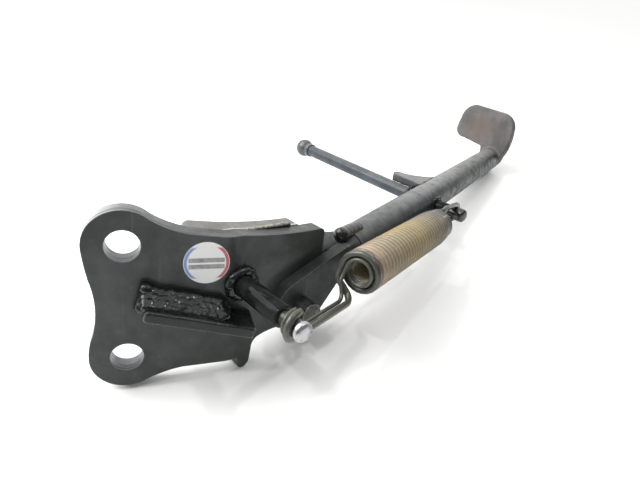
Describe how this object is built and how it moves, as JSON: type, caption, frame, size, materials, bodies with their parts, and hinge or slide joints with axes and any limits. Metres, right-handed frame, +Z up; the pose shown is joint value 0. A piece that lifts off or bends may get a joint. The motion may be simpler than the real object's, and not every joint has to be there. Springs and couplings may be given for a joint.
{
  "type": "motorcycle side stand",
  "caption": "Pivoting side stand with a bolt-on frame bracket, tubular leg, foot plate, side tang and nested hook springs.",
  "frame": {"origin": "centre of the upper bolt hole on the bracket's front face", "axes": "+X along the bracket plate towards the leg, -Y out of the plate's front face, +Z up the plate through both bolt holes"},
  "size_m": [0.3491, 0.2848, 0.1042],
  "materials": {
    "black_paint": "satin, scuffed and dusty",
    "painted_weld": "glossy black over rippled weld",
    "worn_steel": "dark steel, bright where rubbed",
    "zinc_plate": "dull yellowish zinc",
    "bare_steel": "greased",
    "label_film": "printed film",
    "worn_foot": "paint worn to brown metal",
    "tang_paint": "satin blue-black",
    "rusted_spring": "oily with orange rust",
    "spring_wire": "dark oily wire"
  },
  "bodies": {
    "bracket": {"mounting_plate": "black_paint", "tongue_doubler": "black_paint", "doubler_seam_weld": "painted_weld", "stop_bar": "black_paint", "stop_bar_weld": "painted_weld", "bracket_spring_post": "worn_steel", "post_base_weld": "painted_weld", "pivot_bush": "bare_steel", "inspection_label": "label_film"},
    "leg": {"fork_cheek_front": "black_paint", "fork_cheek_rear": "black_paint", "fork_crown": "black_paint", "leg_tube": "black_paint", "fork_weld": "painted_weld", "foot_plate": "worn_foot", "tang_rod": "tang_paint", "tang_ball": "tang_paint", "tang_gusset": "black_paint", "tang_weld": "painted_weld", "leg_spring_post": "worn_steel", "leg_post_weld": "painted_weld", "pivot_bolt": "zinc_plate", "pivot_washer": "zinc_plate"},
    "springs": {"outer_spring": "rusted_spring", "inner_spring": "spring_wire"}
  },
  "joints": [
    {"name": "leg_pivot", "type": "hinge", "parent": "bracket", "child": "leg", "pos_m": [0.0726, 0.01236, -0.035], "axis": [-0.3746, 0.9272, 0], "range_deg": [0, 76.79]},
    {"name": "spring_swing", "type": "hinge", "parent": "bracket", "child": "springs", "pos_m": [0.04566, 0.00148, -0.0187], "axis": [-0.3746, 0.9272, 0], "range_deg": [0, 62.5], "deforming": ["outer_spring", "inner_spring"]}
  ],
  "couplings": [
    {"joint": "spring_swing", "follows": "leg_pivot", "ratio": 0.81285}
  ]
}
